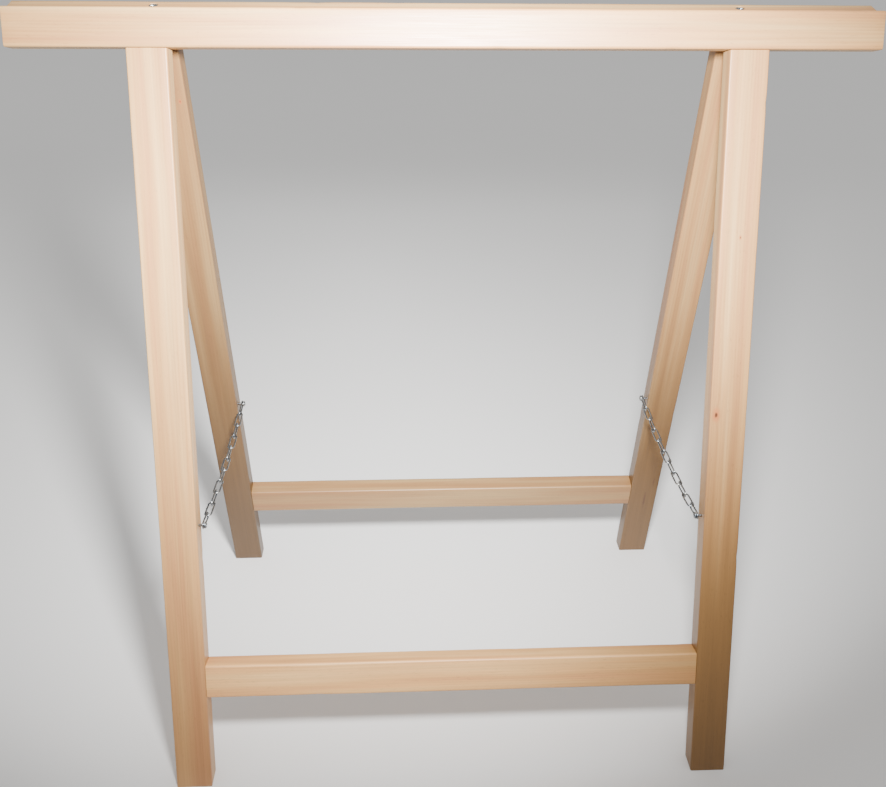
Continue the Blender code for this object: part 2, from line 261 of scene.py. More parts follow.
def carve(mesh, cutters):
    """Cut closed meshes out of a mesh with an exact Boolean, and return the result."""
    stock = put_in_scene("stock", mesh)
    tools = [put_in_scene("tool", cutter) for cutter in cutters]
    for tool in tools:
        cut = stock.modifiers.new(tool.name, "BOOLEAN")
        cut.operation = "DIFFERENCE"
        cut.solver = "EXACT"
        cut.object = tool
    depsgraph = bpy.context.evaluated_depsgraph_get()
    result = bpy.data.meshes.new_from_object(stock.evaluated_get(depsgraph))
    for thing in (stock, *tools):
        bpy.data.objects.remove(thing, do_unlink=True)
    if not result.polygons:
        raise RuntimeError("a Boolean left nothing of " + mesh.name)
    return result


# ---------------------------------------------------------------------------
# Boards
# ---------------------------------------------------------------------------

def sections_at(along, section):
    """Rings from the place of each section along the board and its points."""
    return np.dstack((np.repeat(along[:, None], section.shape[1], axis=1), section))


def board_rings(length, half_thick, half_wide, arris, sizes, seed, tenon=None):
    """Rings of one board in its own coordinates, from one sawn end to the other.

    Along the board the section is a rounded rectangle.  Its arris radius swells and shrinks
    with a slow sum of sines, its faces hollow by a few hundredths of a millimetre, and small
    dents (Gaussian dips) take a little more off single corners.  At each end the section
    draws in by e * (1 - sin a) over e * (1 - cos a) of length, which breaks the sawn edge.
    tenon is (length, half thickness, half width) of a reduced stretch past each end.  A board
    without one is closed by two smaller rings in the plane of each end.
    """
    edge = sizes.end_arris
    turn = np.linspace(0.0, math.pi / 2, sizes.arc_steps + 1)
    rim_along, rim_in = edge * (1 - np.cos(turn)), edge * (1 - np.sin(turn))
    body = np.linspace(edge, length - edge, max(8, int(length / sizes.station_step)))
    along = np.concatenate((rim_along, body[1:-1], (length - rim_along)[::-1]))
    inset = np.concatenate((rim_in, np.zeros(len(body) - 2), rim_in[::-1]))
    arris = arris * (1 + ARRIS_SWAY * wander(along, seed, ARRIS_PACE))
    steps = sizes.arc_steps, sizes.flat_steps
    section = rounded_section(half_thick - inset, half_wide - inset, arris, *steps)
    section -= uneven(section, along, half_thick, half_wide, sizes, seed)
    rings = sections_at(along, section)
    if tenon:
        reach, tenon_thick, tenon_wide = tenon
        stop = np.array((0.0, 0.0, edge, reach))
        draw = np.array((0.35 * tenon_thick, edge, 0.0, 0.0))
        small = rounded_section(tenon_thick - draw, tenon_wide - draw, np.full(4, edge / 2), *steps)
        first = sections_at(stop - reach, small)
        last = first[::-1].copy()
        last[:, :, 0] = length - first[::-1, :, 0]
        return np.concatenate((first, rings, last))
    shrink = np.array(((1.0, 0.35, 0.35), (1.0, 0.7, 0.7)))[:, None, :]
    return np.concatenate((rings[:1] * shrink, rings, rings[-1:] * shrink[::-1]))


def uneven(section, along, half_thick, half_wide, sizes, seed):
    """How far each point of a board lies inside its true section, along its direction from the middle.

    Both directions t / T and w / W, raised to the eighth power with their sign kept, times a
    hollow that comes and goes in slow sines, plus depth * exp(-(distance / radius)^2) towards
    the middle for each dent, whose distance along the board counts 1 / 1.6.
    """
    rng = np.random.default_rng(seed)
    outward = np.sign(section) * (np.abs(section) / np.array((half_thick, half_wide))) ** 8
    hollow = sizes.hollow * (0.5 + 0.5 * wander(along, seed + 3, HOLLOW_PACE))[:, None, None]
    amount = hollow * outward
    for _ in range(sizes.dents):
        spot = rng.uniform(along[0], along[-1])
        corner = rng.choice((-1, 1), 2) * (half_thick, half_wide)
        radius = rng.uniform(*DENT_RADIUS) * MM
        depth = rng.uniform(*DENT_DEPTH) * MM
        near = ((along - spot) / (radius * 1.6))[:, None] ** 2
        near = near + (((section - corner) / radius) ** 2).sum(-1)
        amount = amount + depth * np.exp(-near)[:, :, None] * np.sign(corner)
    return amount


# ---------------------------------------------------------------------------
# Screws and dowels
# ---------------------------------------------------------------------------

def circle(steps):
    """Angles evenly round a circle."""
    return np.linspace(0.0, 2 * math.pi, steps, endpoint=False)


def turned(drop, radius, angle):
    """Rings round an axis, in (axis, x, y): radius * cos a and radius * sin a at each drop."""
    whole = np.ones(len(angle))
    return np.dstack((drop * whole, radius * whole * np.cos(angle), radius * whole * np.sin(angle)))


def thread_ridge(turns, pitch, taper, shank, angle):
    """A ridge that climbs a pitch each turn: height * taper * (1 - |2 f - 1|)^3.

    f is the fraction of (depth / pitch - angle / turn).
    """
    part = np.mod(turns[:, None] / pitch - angle / (2 * math.pi), 1.0)
    return THREAD_HEIGHT * shank * taper[:, None] * (1 - np.abs(2 * part - 1)) ** 3


def cross_recess(radius, angle, head):
    """Depth of a cross recess: smooth arms |sin 2a| / 2 * r < w, times a slope down to the middle.

    Their half width, soft edge, reach, slope and depth are shares of the head's radius.
    """
    arm = np.abs(radius * np.sin(2 * angle) / 2)
    inside = smooth_step((0.15 * head - arm) / (0.06 * head))
    return inside * smooth_step((0.66 * head - radius) / (0.3 * head)) * 0.42 * head


def countersunk_rings(size, steps):
    """Rings of a countersunk wood screw down its axis, top at 0, in (axis, x, y).

    The head is a cone from head radius to shank radius with a cross recess in its face, the
    shank is smooth for about its first third and threaded from there to the point.
    """
    head, shank, length = size
    angle = circle(steps)
    cone = head - shank
    face = np.linspace(0.02, 1.0, 14) * head
    pitch = WOOD_PITCH * shank
    turns = np.arange(cone + max(2.0 * shank, 0.3 * length), length - 0.2 * shank, pitch / THREAD_RINGS)
    taper = np.clip((length - turns) / (2.4 * shank), 0.05, 1.0)
    depth = np.concatenate((np.zeros(len(face)), [0.06 * cone, cone, cone * 1.15], turns))
    radius = np.concatenate((face, [head, shank * 1.02, shank * 0.86], shank * THREAD_CORE * taper))
    rings = radius[:, None] * np.ones(steps)
    rings[-len(turns):] += thread_ridge(turns, pitch, taper, shank, angle)
    drop = depth[:, None] * np.ones(steps)
    drop[:len(face)] += cross_recess(face[:, None], angle, head)
    return turned(drop, rings, angle)


def countersunk_hole_rings(size, grow):
    """Rings of a countersunk screw's hole: the screw's plain outline, larger by grow all round."""
    head, shank, length = size
    cone = head - shank
    face = np.linspace(0.02, 1.0, 3) * (head + grow)
    depth = np.concatenate((np.full(3, -grow * 2), [0.0, cone, length - 2.4 * shank, length + grow * 2]))
    radius = np.concatenate((face, [head + grow, shank + grow, shank + grow, HOLE_TIP]))
    return turned(depth[:, None], radius[:, None], circle(HOLE_STEPS))


def pan_head_rings(head, rise, shank, bare, depth, steps):
    """Rings of a pan head screw down its axis, in (axis, x, y), with the wood's face at 0.

    The dome is an ellipse's quarter with a cross recess, the underside is flat, the bare neck
    carries the chain and the thread runs from the wood's face to the point.
    """
    angle = circle(steps)
    share = np.linspace(0.03, 1.0, 16)
    face = head * np.sin(share * math.pi / 2)
    dome = -bare - rise * (0.25 + 0.75 * np.cos(share * math.pi / 2))
    pitch = PAN_PITCH * shank
    turns = np.arange(0.4 * MM, depth - 0.2 * shank, pitch / THREAD_RINGS)
    taper = np.clip((depth - turns) / (2.2 * shank), 0.05, 1.0)
    level = np.concatenate((dome, [-bare - 0.08 * rise, -bare, -bare, -0.3 * MM], turns))
    radius = np.concatenate((face, [head, 0.96 * head, shank, shank * 0.95], shank * THREAD_CORE * taper))
    rings = radius[:, None] * np.ones(steps)
    rings[-len(turns):] += thread_ridge(turns, pitch, taper, shank, angle)
    drop = level[:, None] * np.ones(steps)
    drop[:len(face)] += cross_recess(face[:, None], angle, head)
    return turned(drop, rings, angle)


def pan_head_hole_rings(shank, depth, grow):
    """Rings of a pan head screw's hole, a straight bore with a pointed bottom."""
    drop = np.array((-depth, -0.1 * MM, depth - 2 * shank, depth + 2 * grow))
    radius = np.array((shank + grow, shank + grow, shank + grow, HOLE_TIP))
    return turned(drop[:, None], radius[:, None], circle(HOLE_STEPS))


def dowel_rings(radius, half, chamfer, steps, flute):
    """Rings of a dowel: a cylinder with chamfered ends and flutes |cos 8a|^6 deep along it."""
    angle = circle(steps)
    along = np.array((-half, -half, -half + chamfer, half - chamfer, half, half))
    size = np.array((0.5 * radius, radius - chamfer, radius, radius, radius - chamfer, 0.5 * radius))
    groove = 1 - flute / radius * np.abs(np.cos(8 * angle)) ** 6
    return turned(along[:, None], size[:, None] * groove, angle)


def stood_along(rings, top, inward):
    """Rings in (axis, x, y) moved so that the axis starts at a point and runs along a direction."""
    inward = np.array(inward, dtype=float)
    across = np.cross(inward, (0.0, 0.0, 1.0) if abs(inward[2]) < 0.9 else (1.0, 0.0, 0.0))
    across /= np.linalg.norm(across)
    third = np.cross(inward, across)
    return np.array(top) + rings @ np.stack((inward, across, third))


# ---------------------------------------------------------------------------
# Materials
# ---------------------------------------------------------------------------

def hex_colour(code):
    """An sRGB hex colour as linear RGBA: c / 12.92 below 0.04045, else ((c + 0.055) / 1.055)^2.4."""
    values = [int(code[i:i + 2], 16) / 255 for i in (1, 3, 5)]
    return (*(v / 12.92 if v <= 0.04045 else ((v + 0.055) / 1.055) ** 2.4 for v in values), 1.0)


def add_node(tree, kind, sockets=None, stops=(), **settings):
    """Add a node with its settings and links.

    sockets gives an input its value, the output that feeds it, or the node whose first
    output in use feeds it.  stops are a ramp's (position, colour) pairs.
    """
    node = tree.nodes.new("ShaderNode" + kind)
    for name, value in settings.items():
        setattr(node, name, value)
    for socket, value in (sockets or {}).items():
        if isinstance(value, bpy.types.Node):
            value = next(output for output in value.outputs if output.enabled)
        if isinstance(value, bpy.types.NodeSocket):
            tree.links.new(value, node.inputs[socket])
        else:
            node.inputs[socket].default_value = value
    for number, (position, colour) in enumerate(stops):
        elements = node.color_ramp.elements
        element = elements[number] if number < len(elements) else elements.new(position)
        element.position = position
        element.color = colour
    return node


def new_material(name):
    """An empty node material with its Principled shader."""
    material = bpy.data.materials.new(name)
    material.use_nodes = True
    return material, material.node_tree, material.node_tree.nodes["Principled BSDF"]


def distance_from(tree, board, spot, squeeze):
    """How far a point of the board is from a spot on it, with the grain direction squeezed."""
    away = add_node(tree, "VectorMath", {0: board, 1: (spot[0], 0.0, spot[1])}, operation="SUBTRACT")
    flat = add_node(tree, "VectorMath", {0: away, 1: (squeeze, 0.0, 1.0)}, operation="MULTIPLY")
    return add_node(tree, "VectorMath", {0: flat}, operation="LENGTH")


def planed_alder(name, side, upright_grain, looks, seed, board):
    """Planed alder, unfinished: a pale, close-grained hardwood.

    What the eye gets from it: broad soft bands that drift between straw, peach and rose,
    faint straight growth lines a few millimetres apart that come and go, very fine fibres, a
    dull sheen where light grazes the planed face, now and then a pin knot, and sawn ends that
    are darker because the open fibres drink the light.  Painted on top of the wood: a board's
    overall lightness, lower on the rear boards as painted shade and higher on the front cross
    rail as painted light, a brown that darkens the legs towards their feet and the front cross
    rail towards its right end as painted shade, and thin dark marks of the chain's painted
    shadow on the rear right leg.
    because the open fibres drink the light.
    """
    material, tree, shader = new_material(name)
    place = add_node(tree, "TexCoord")
    stood = add_node(tree, "Mapping", {
        "Vector": place.outputs["Object"], "Location": HINGE, "Rotation": (side * LEAN, 0, 0),
    }, vector_type="TEXTURE")
    turn = (0, math.pi / 2, 0) if upright_grain else (0, 0, 0)
    along_grain = add_node(tree, "Mapping", {"Vector": stood, "Rotation": turn})
    cut_from = add_node(tree, "VectorMath", {0: along_grain, 1: (3.1 * seed, 0.37 * seed, 0.53 * seed)},
                        operation="ADD")

    # noise stretched with the grain: its length along and width across it, detail, roughness
    noise = {}
    for pattern, length, width, detail, roughness in (
            ("bands", looks.band_length, looks.band_width, 3.0, 0.5),
            ("ring bends", 500 * MM, 45 * MM, 2.0, 0.5),
            ("ring fading", 180 * MM, 12 * MM, 1.0, 0.5),
            ("fibres", looks.fibre_length, looks.fibre_width, 3.0, 0.6),
            ("flecks", looks.fleck_length, looks.fleck_width, 1.0, 0.5),
            ("stripes", looks.stripe_length, looks.stripe_width, 2.0, 0.5)):
        scaled = add_node(tree, "VectorMath", {0: cut_from, 1: (1 / length, 1 / width, 1 / width)},
                          operation="MULTIPLY")
        noise[pattern] = add_node(tree, "TexNoise", {
            "Vector": scaled, "Scale": 1.0, "Detail": detail, "Roughness": roughness})

    # broad bands, then growth lines: rings round a pith line beside the board
    base = add_node(tree, "ValToRGB", {0: noise["bands"]}, stops=(
        (0.32, hex_colour(looks.rose)), (0.5, hex_colour(looks.peach)), (0.68, hex_colour(looks.straw))))
    pith = (0.0, -0.021 - 0.006 * math.sin(seed * 2.1), 0.052 + 0.02 * math.sin(seed * 1.7))
    from_pith = add_node(tree, "VectorMath", {0: along_grain, 1: pith}, operation="SUBTRACT")
    radial = add_node(tree, "VectorMath", {0: from_pith, 1: (0.0, 1.0, 1.0)}, operation="MULTIPLY")
    rings = add_node(tree, "VectorMath", {0: radial}, operation="LENGTH")
    rings = add_node(tree, "Math", {0: noise["ring bends"], 1: looks.ring_drift, 2: rings},
                     operation="MULTIPLY_ADD")
    for *spot, radius in board["knots"]:
        # the growth lines swing round a knot
        reach = distance_from(tree, along_grain, spot, 0.35)
        swing = add_node(tree, "MapRange", {0: reach, 1: 0.0, 2: radius * 5, 3: radius * 1.6, 4: 0.0},
                         interpolation_type="SMOOTHERSTEP")
        rings = add_node(tree, "Math", {0: rings, 1: swing}, operation="ADD")
    count = add_node(tree, "Math", {0: rings, 1: looks.ring_spacing}, operation="DIVIDE")
    part = add_node(tree, "Math", {0: count}, operation="FRACT")
    late = add_node(tree, "ValToRGB", {0: part}, stops=(
        (0.0, (0, 0, 0, 1)), (0.4, (0.1, 0.1, 0.1, 1)), (0.85, (1, 1, 1, 1)), (1.0, (0, 0, 0, 1))))
    late_amount = add_node(tree, "MapRange", {
        0: noise["ring fading"], 1: 0.4, 2: 0.7, 3: 0.04, 4: looks.ring_depth})
    late_amount = add_node(tree, "Math", {0: late, 1: late_amount}, operation="MULTIPLY")
    colour = add_node(tree, "MixRGB", {0: late_amount, 1: base, 2: hex_colour(looks.latewood)})

    # painted shade in brown, from one place along the board to another: it darkens the legs towards their feet and
    # the front cross rail towards its right end, where the light falls off
    start, end, strength = board["falloff_shade"]
    edge = add_node(tree, "SeparateXYZ", {0: along_grain})
    wave = add_node(tree, "Math", {0: noise["bands"], 1: 0.16, 2: edge.outputs[0]}, operation="MULTIPLY_ADD")
    falloff_shade = add_node(tree, "MapRange", {0: wave, 1: start + 0.08, 2: end + 0.08, 3: 0.0, 4: strength},
                     interpolation_type="SMOOTHSTEP")
    colour = add_node(tree, "MixRGB", {0: falloff_shade, 1: colour, 2: hex_colour(looks.falloff_shade_brown)})

    # the board's overall lightness, painted shade on the rear boards and painted light on the front cross rail,
    # times fibres, flecks and slow stripes
    shade = board["tone"]
    for pattern, low, high, at_low, at_high in (
            ("fibres", 0.3, 0.7, 0.93, 1.05), ("flecks", 0.64, 0.76, 1.0, 0.86),
            ("stripes", 0.3, 0.7, 0.92, 1.06)):
        tone = add_node(tree, "MapRange", {0: noise[pattern], 1: low, 2: high, 3: at_low, 4: at_high})
        shade = add_node(tree, "Math", {0: tone, 1: shade}, operation="MULTIPLY")
    colour = add_node(tree, "VectorMath", {0: colour, 1: shade}, operation="MULTIPLY")

    # pin knots with their stain, and thin dark marks of the chain's painted shadow on the rear right leg
    ragged = add_node(tree, "TexNoise", {"Vector": along_grain, "Scale": 1 / (4 * MM), "Detail": 2.0})
    for *spot, radius in board["knots"]:
        reach = distance_from(tree, along_grain, spot, 0.55)
        reach = add_node(tree, "Math", {0: ragged, 1: radius * 1.1, 2: reach}, operation="MULTIPLY_ADD")
        for inner, outer, strength, tint in (
                (1.2, 4.0, 0.55, looks.knot_stain), (0.95, 1.7, 0.9, looks.knot_heart)):
            mark = add_node(tree, "MapRange", {
                0: reach, 1: radius * inner, 2: radius * outer, 3: strength, 4: 0.0,
            }, interpolation_type="SMOOTHSTEP")
            colour = add_node(tree, "MixRGB", {0: mark, 1: colour, 2: hex_colour(tint)})
    # painted shadow of the chain on the rear right leg, as thin dark marks
    for *spot, length, width, strength in board["chain_shadow_marks"]:
        reach = distance_from(tree, along_grain, spot, width / length)
        reach = add_node(tree, "Math", {0: ragged, 1: width * 0.7, 2: reach}, operation="MULTIPLY_ADD")
        mark = add_node(tree, "MapRange", {0: reach, 1: width * 0.5, 2: width * 1.2, 3: strength, 4: 0.0},
                        interpolation_type="SMOOTHSTEP")
        colour = add_node(tree, "MixRGB", {0: mark, 1: colour, 2: hex_colour(looks.chain_shadow_brown)})

    # sawn ends, where the surface faces along the grain
    grain_axis = to_model(np.array((0.0, 0.0, 1.0)), side) - HINGE if upright_grain else (1.0, 0.0, 0.0)
    facing = add_node(tree, "VectorMath", {0: place.outputs["Normal"], 1: tuple(grain_axis)},
                      operation="DOT_PRODUCT")
    facing = add_node(tree, "Math", {0: facing}, operation="ABSOLUTE")
    end_grain = add_node(tree, "MapRange", {0: facing, 1: 0.6, 2: 0.92, 3: 0.0, 4: 1.0})
    sawn = add_node(tree, "TexNoise", {
        "Vector": along_grain, "Scale": 1 / looks.saw_grit, "Detail": 4.0, "Roughness": 0.7})
    end_tone = add_node(tree, "MapRange", {0: sawn, 1: 0.25, 2: 0.75, 3: 0.62, 4: 1.0})
    end_colour = add_node(tree, "VectorMath", {0: colour, 1: end_tone}, operation="MULTIPLY")
    end_colour = add_node(tree, "MixRGB", {0: 0.55, 1: end_colour, 2: hex_colour(looks.end_grain)},
                          blend_type="MULTIPLY")
    colour = add_node(tree, "MixRGB", {0: end_grain, 1: colour, 2: end_colour})
    tree.links.new(colour.outputs[0], shader.inputs["Base Color"])

    # raised fibres, growth lines and saw marks, as metres of height
    height = add_node(tree, "Math", {0: noise["fibres"], 1: 0.03 * MM}, operation="MULTIPLY")
    height = add_node(tree, "Math", {0: late, 1: 0.015 * MM, 2: height}, operation="MULTIPLY_ADD")
    saw_height = add_node(tree, "Math", {0: sawn, 1: end_grain}, operation="MULTIPLY")
    height = add_node(tree, "Math", {0: saw_height, 1: 0.35 * MM, 2: height}, operation="MULTIPLY_ADD")
    bump = add_node(tree, "Bump", {"Height": height, "Distance": 1.0, "Strength": 0.7})
    tree.links.new(bump.outputs[0], shader.inputs["Normal"])
    rough = add_node(tree, "MapRange", {
        0: noise["fibres"], 1: 0.3, 2: 0.7, 3: looks.wood_roughness + 0.06, 4: looks.wood_roughness - 0.05})
    tree.links.new(rough.outputs[0], shader.inputs["Roughness"])
    shader.inputs["IOR"].default_value = 1.5
    shader.inputs["Specular IOR Level"].default_value = looks.wood_specular
    return material


def turned_beech(looks):
    """Turned beech of the dowels: even pinkish brown with short ray flecks 1 mm by 15 mm."""
    material, tree, shader = new_material("turned_beech")
    place = add_node(tree, "TexCoord")
    scaled = add_node(tree, "VectorMath", {0: place.outputs["Object"], 1: (1 / MM, 1 / MM, 1 / (15 * MM))},
                      operation="MULTIPLY")
    rays = add_node(tree, "TexNoise", {"Vector": scaled, "Scale": 1.0, "Detail": 3.0})
    colour = add_node(tree, "ValToRGB", {0: rays}, stops=(
        (0.32, hex_colour(looks.dowel_dark)), (0.62, hex_colour(looks.dowel))))
    tree.links.new(colour.outputs[0], shader.inputs["Base Color"])
    bump = add_node(tree, "Bump", {"Height": rays, "Distance": 0.05 * MM, "Strength": 0.6})
    tree.links.new(bump.outputs[0], shader.inputs["Normal"])
    shader.inputs["Roughness"].default_value = 0.6
    return material


def zinc_plate(name, looks, roughness, marks=(1.0, 1.0, 1.0)):
    """Bright zinc plate on drawn or pressed steel, with a clear passivation.

    What the eye gets from it: a cool grey metal, a faint blue and straw cast that wanders over
    about 5 mm, fine drawing or rolling marks, and duller, darker patches where it is handled.
    """
    material, tree, shader = new_material(name)
    place = add_node(tree, "TexCoord")
    cloud = add_node(tree, "TexNoise", {
        "Vector": place.outputs["Object"], "Scale": 1 / (5 * MM), "Detail": 3.0})
    tint = add_node(tree, "ValToRGB", {0: cloud}, stops=(
        (0.3, hex_colour(looks.zinc_blue)), (0.5, hex_colour(looks.zinc)),
        (0.72, hex_colour(looks.zinc_straw))))
    tree.links.new(tint.outputs[0], shader.inputs["Base Color"])
    drawn = add_node(tree, "VectorMath", {0: place.outputs["Object"], 1: marks}, operation="MULTIPLY")
    scratch = add_node(tree, "TexNoise", {"Vector": drawn, "Scale": 1 / (0.4 * MM), "Detail": 2.0})
    # both noises average a half, so together they give back the 0.18 that is taken off
    dull = add_node(tree, "Math", {0: cloud, 1: 0.22, 2: roughness - 0.18}, operation="MULTIPLY_ADD")
    dull = add_node(tree, "Math", {0: scratch, 1: 0.14, 2: dull}, operation="MULTIPLY_ADD")
    tree.links.new(dull.outputs[0], shader.inputs["Roughness"])
    bump = add_node(tree, "Bump", {"Height": scratch, "Distance": 0.02 * MM, "Strength": 0.5})
    tree.links.new(bump.outputs[0], shader.inputs["Normal"])
    shader.inputs["Metallic"].default_value = 1.0
    return material


# ---------------------------------------------------------------------------
# Settings
# ---------------------------------------------------------------------------

def millimetres(name, description, value):
    """A length setting, whose default is given in millimetres."""
    return FloatProperty(name=name, description=description, default=value * MM, unit="LENGTH", precision=5)


def colour_code(name, description, code):
    """A colour setting, as an sRGB hex code."""
    return StringProperty(name=name, description=description, default=code)


class SawhorseTimberSizes(bpy.types.PropertyGroup):
    """How the boards are machined."""

    leg_arris: millimetres("Leg edge radius", "Rounding of the legs' long edges", 1.5)
    rail_arris: millimetres("Top rail edge radius", "Rounding of the top rails' long edges", 2.2)
    cross_arris: millimetres("Cross rail edge radius", "Rounding of the cross rails' long edges", 2.5)
    end_arris: millimetres("Sawn edge", "Break of the sawn ends' edges", 0.5)
    station_step: millimetres("Station spacing", "Distance between sections along a board", 9.0)
    hollow: millimetres("Hollow", "How far planed faces dip", 0.08)
    arc_steps: IntProperty(name="Arc steps", description="Steps in each rounded edge", default=5)
    flat_steps: IntProperty(name="Flat steps", description="Steps across each flat side", default=5)
    dents: IntProperty(name="Dents", description="Small knocks on each board's edges", default=7)
    clearance: millimetres("Clearance", "Room round tenons, dowels and screws", 0.3)


class SawhorseFixingSizes(bpy.types.PropertyGroup):
    """Steel fixings and chain."""

    leg_shank: millimetres("Leg screw shank", "Shank radius of the screws into the legs", 2.2)
    hinge_shank: millimetres("Hinge screw shank", "Shank radius of the hinge screws", 1.4)
    chain_shank: millimetres("Chain screw shank", "Shank radius of the chain screws", 1.4)
    chain_screw_depth: millimetres("Chain screw depth", "How deep the chain screws go into the legs", 15.0)
    chain_head_rise: millimetres("Chain screw head", "Height of the chain screws' heads", 2.2)
    around: IntProperty(name="Steps around", description="Points round each screw", default=40)
    link_around: IntProperty(name="Link wire steps", description="Points round the chain's wire", default=14)
    link_bend: IntProperty(
        name="Link bend steps", description="Steps in each rounded end of a link", default=14)
    weld_bulge: millimetres("Weld bulge", "How far a link's weld stands proud of its wire", 0.22)


class SawhorseLooks(bpy.types.PropertyGroup):
    """Colours (sRGB hex) and finishes."""

    straw: colour_code("Straw", "Palest band of the alder", "#CDA66F")
    peach: colour_code("Peach", "Usual colour of the alder", "#C2925C")
    rose: colour_code("Rose", "Pinkest band of the alder", "#B67F52")
    latewood: colour_code("Growth line", "Darker line of each growth ring", "#8F5F38")
    # brown of the painted shade towards the legs' feet and the front cross rail's right end
    falloff_shade_brown: colour_code("Heartwood", "Browner wood near the pith", "#7D5A30")
    end_grain: colour_code("End grain", "Tint of the sawn ends", "#B98A5E")
    knot_heart: colour_code("Knot heart", "Middle of a pin knot", "#3C1E12")
    knot_stain: colour_code("Knot stain", "Stain round a pin knot", "#B0572C")
    # dark brown of the chain's painted shadow on the rear right leg
    chain_shadow_brown: colour_code("Streak", "Brown pith streaks", "#4A2B16")
    dowel: colour_code("Beech", "Pale colour of the dowels", "#D2A67C")
    dowel_dark: colour_code("Beech rays", "Ray flecks of the dowels", "#B07F55")
    zinc: colour_code("Zinc", "Zinc plate", "#94989B")
    zinc_blue: colour_code("Blue cast", "Bluish cast of the zinc", "#727A84")
    zinc_straw: colour_code("Straw cast", "Yellowish cast of the zinc", "#B3AFA4")
    wood_roughness: FloatProperty(
        name="Wood roughness", description="Roughness of the planed faces", default=0.42)
    wood_specular: FloatProperty(
        name="Wood sheen", description="Specular level of the planed faces", default=0.6)
    ring_depth: FloatProperty(
        name="Growth line depth", description="Strength of the growth lines", default=0.3)
    ring_spacing: millimetres("Ring spacing", "Distance between growth lines", 3.1)
    ring_drift: millimetres("Ring drift", "How far growth lines wander along a board", 16.0)
    band_length: millimetres("Band length", "Length of the colour bands", 420)
    band_width: millimetres("Band width", "Width of the colour bands", 15)
    stripe_length: millimetres("Stripe length", "Length of the slow stripes", 300)
    stripe_width: millimetres("Stripe width", "Width of the slow stripes", 4)
    fibre_length: millimetres("Fibre length", "Length of the fibres' marks", 50)
    fibre_width: millimetres("Fibre width", "Width of the fibres' marks", 0.7)
    fleck_length: millimetres("Fleck length", "Length of the ray flecks", 6)
    fleck_width: millimetres("Fleck width", "Width of the ray flecks", 1.1)
    saw_grit: millimetres("Saw marks", "Size of the marks on sawn ends", 1.1)


class SawhorseStageSettings(bpy.types.PropertyGroup):
    """Camera, floor and light."""

    camera_place: FloatVectorProperty(
        name="Camera", description="Where the camera stands, from the hinge axis",
        default=(-0.0393, -0.9146, 0.0992), subtype="TRANSLATION", unit="LENGTH")
    camera_yaw: FloatProperty(
        name="Yaw", description="Turn of the camera to the right of +Y", default=0.05258, subtype="ANGLE")
    camera_pitch: FloatProperty(
        name="Pitch", description="Tilt of the camera above the horizon", default=-0.44423, subtype="ANGLE")
    camera_roll: FloatProperty(
        name="Roll", description="Roll of the camera", default=0.01117, subtype="ANGLE")
    lens: FloatProperty(
        name="Lens", description="Focal length in millimetres on a 36 mm sensor", default=39.07)
    shift: FloatVectorProperty(
        name="Shift", description="Lens shift across and up", size=2, default=(-0.0162, -0.0476))
    floor_colour: colour_code("Floor", "Colour of the floor", "#F4F3F1")
    floor_size: FloatProperty(
        name="Floor size", description="Edge length of the floor", default=80.0, unit="LENGTH")
    floor_cloud: FloatProperty(
        name="Floor clouding", description="Size of the floor's faint clouds", default=0.33, unit="LENGTH")
    key_place: FloatVectorProperty(
        name="Key place", description="Where the lamp hangs, from the camera",
        default=(0.07, 0.25, 0.07), subtype="TRANSLATION", unit="LENGTH")
    key_aim: FloatVectorProperty(
        name="Key aim", description="The point that the lamp is aimed at",
        default=(-0.03, -0.02, 0.60), subtype="TRANSLATION", unit="LENGTH")
    key_size: FloatProperty(name="Key size", description="Width of the lamp", default=0.12, unit="LENGTH")
    key_spread: FloatProperty(
        name="Key spread", description="Width of the lamp's beam", default=math.radians(84), subtype="ANGLE")
    key_power: FloatProperty(
        name="Key light", description="Power of the lamp by the camera in watts", default=14.0)
    top_level: FloatProperty(
        name="Top light", description="Strength of the soft light from above", default=1.5)
    top_softness: FloatProperty(
        name="Top softness", description="Apparent width of the light from above",
        default=math.radians(110), subtype="ANGLE")
    world_level: FloatProperty(
        name="Room light", description="Strength of the even light all round", default=0.15)


# ---------------------------------------------------------------------------
# Pieces and operators
# ---------------------------------------------------------------------------

def board_mesh(name, side, centre, half, arris, sizes, seed, upright_grain=False, tenon=None):
    """A board's mesh in the model's place: its rings stood up, cut level at the foot, and leaned."""
    half_long, half_thick, half_wide = half
    rings = board_rings(2 * half_long, half_thick, half_wide, arris, sizes, seed, tenon)
    if upright_grain:
        # l becomes l * (1 + t tan(lean) / length), so that the foot's end lies on the floor
        rings[:, :, 0] *= 1 + rings[:, :, 1] * math.tan(LEAN) / (2 * half_long)
        upright = np.stack((rings[:, :, 2], side * rings[:, :, 1], half_long - rings[:, :, 0]), axis=-1)
    else:
        upright = np.stack((rings[:, :, 0] - half_long, rings[:, :, 1], rings[:, :, 2]), axis=-1)
    return skin(name, to_model(upright + centre, side))


def finish_board(node, mesh, side, looks, seed, upright_grain=False):
    """Give a board its own alder, with what sets it apart, and put it in its node's place."""
    board = PLAIN_BOARD | BOARDS.get(node, {})
    material = planed_alder(f"alder_{node}", side, upright_grain, looks, seed, board)
    finish_piece(f"{node}_board", mesh, f"{node.split('_')[0]}_frame", material, node)


def screw_hole(side, top, inward, size, clearance):
    """A cutter for a countersunk screw, placed in upright coordinates."""
    rings = countersunk_hole_rings(size, clearance)
    return skin("hole", to_model(stood_along(rings, top, inward), side))


def upright_screw(node, side, shank):
    """Top centre and (head, shank, length) of a countersunk screw that stands in a frame."""
    low, high = upright_box(node, side)
    top = np.array(((low[0] + high[0]) / 2, (low[1] + high[1]) / 2, high[2]))
    return top, ((high[0] - low[0]) / 2, shank, high[2] - low[2])


